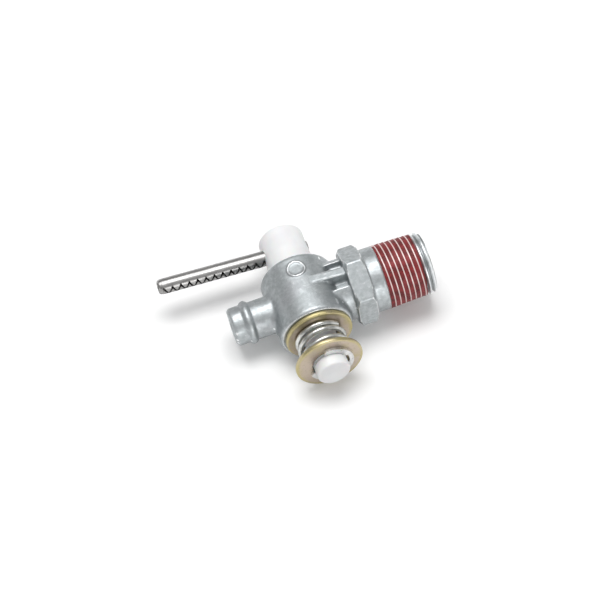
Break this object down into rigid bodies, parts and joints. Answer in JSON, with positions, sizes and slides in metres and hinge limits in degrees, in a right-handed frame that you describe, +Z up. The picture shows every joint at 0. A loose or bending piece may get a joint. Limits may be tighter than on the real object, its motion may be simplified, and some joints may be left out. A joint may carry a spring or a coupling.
{
  "type": "plug valve",
  "caption": "Spring-loaded taper plug shut-off valve: male taper pipe thread with wrench hexagon at one end, beaded hose nipple at the other, turned by a cross pin in the plug's head.",
  "frame": {"origin": "centre of the pipe end's mouth, on the flow axis", "axes": "+X out of the pipe end along the flow axis; Y is the plug axis, +Y towards the plug's head; +Z up, square to both"},
  "size_m": [0.0691, 0.0464, 0.0212],
  "materials": {
    "die_cast": "as cast, fine satin grain",
    "sealant": "dried thread sealant",
    "white_plastic": "moulded, slightly translucent",
    "pin_steel": "drawn and tumbled",
    "chromated_steel": "yellow chromate over zinc",
    "spring_steel": "bright zinc wire",
    "clip_steel": "zinc plated spring steel"
  },
  "bodies": {
    "valve_body": {"valve_body": "die_cast", "thread_sealant": "sealant", "rear_washer": "chromated_steel", "spring": "spring_steel"},
    "spring_washer": {"front_washer": "chromated_steel"},
    "plug": {"plug": "white_plastic", "handle_pin": "pin_steel", "retaining_clip": "clip_steel"}
  },
  "joints": [
    {"name": "plug_push", "type": "slide", "parent": "valve_body", "child": "spring_washer", "axis": [0, 1, 0], "range_m": [0, 0.0015], "stiffness_N_per_m": 2500, "springref_m": -0.0002, "deforming": ["spring"]},
    {"name": "plug_turn", "type": "hinge", "parent": "spring_washer", "child": "plug", "pos_m": [-0.0338, 0, 0], "axis": [0, 1, 0], "continuous": true}
  ]
}
